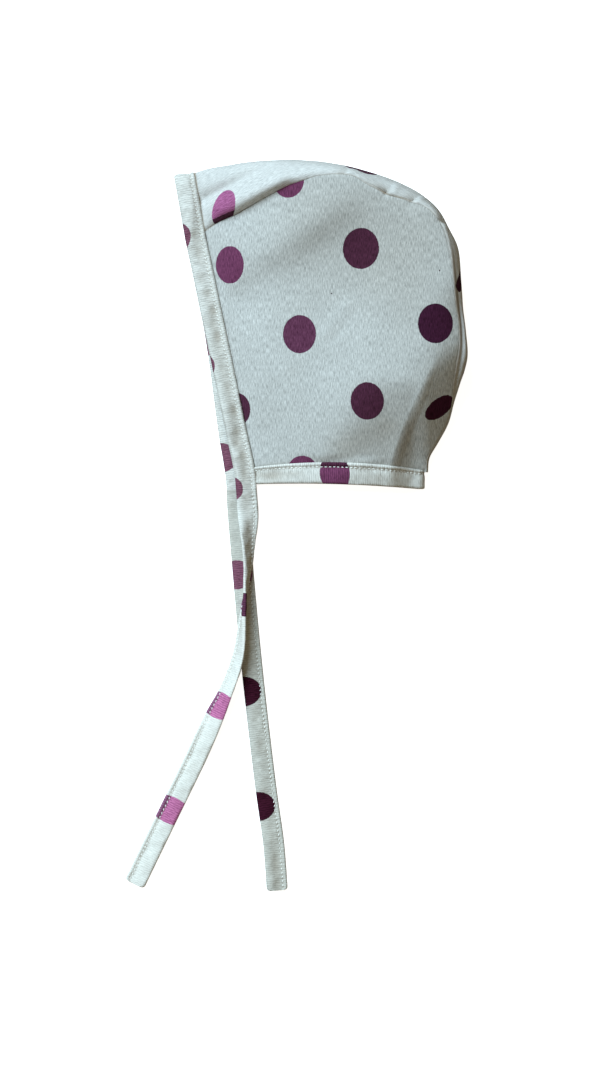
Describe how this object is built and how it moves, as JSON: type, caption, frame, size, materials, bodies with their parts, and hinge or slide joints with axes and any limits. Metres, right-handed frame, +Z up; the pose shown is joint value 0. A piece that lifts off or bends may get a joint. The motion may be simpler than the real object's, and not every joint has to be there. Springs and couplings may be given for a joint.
{
  "type": "bonnet",
  "caption": "Baby bonnet of dotted cotton knit with side panels, a centre panel, a folded face band running on as flat ties, and a neck band, lying on its side.",
  "frame": {"origin": "under the middle of the bonnet without its ties, on the surface that its right side lies on", "axes": "+Z up from that surface, through the wearer's left side; the crown points to +Y, the face opening to -X, and the neck edge and the ties to -Y"},
  "size_m": [0.1717, 0.3668, 0.0448],
  "materials": {
    "dotted_cotton_knit": "matte cream cotton knit printed with round plum dots",
    "folded_cotton_band": "matte cream cotton knit, folded and edge-stitched, with the same plum dots"
  },
  "bodies": {
    "root": {"side_panel_left": "dotted_cotton_knit", "side_panel_right": "dotted_cotton_knit", "centre_panel": "dotted_cotton_knit", "face_band": "folded_cotton_band", "neck_band": "folded_cotton_band", "tie_left": "folded_cotton_band", "tie_right": "folded_cotton_band"}
  },
  "joints": []
}
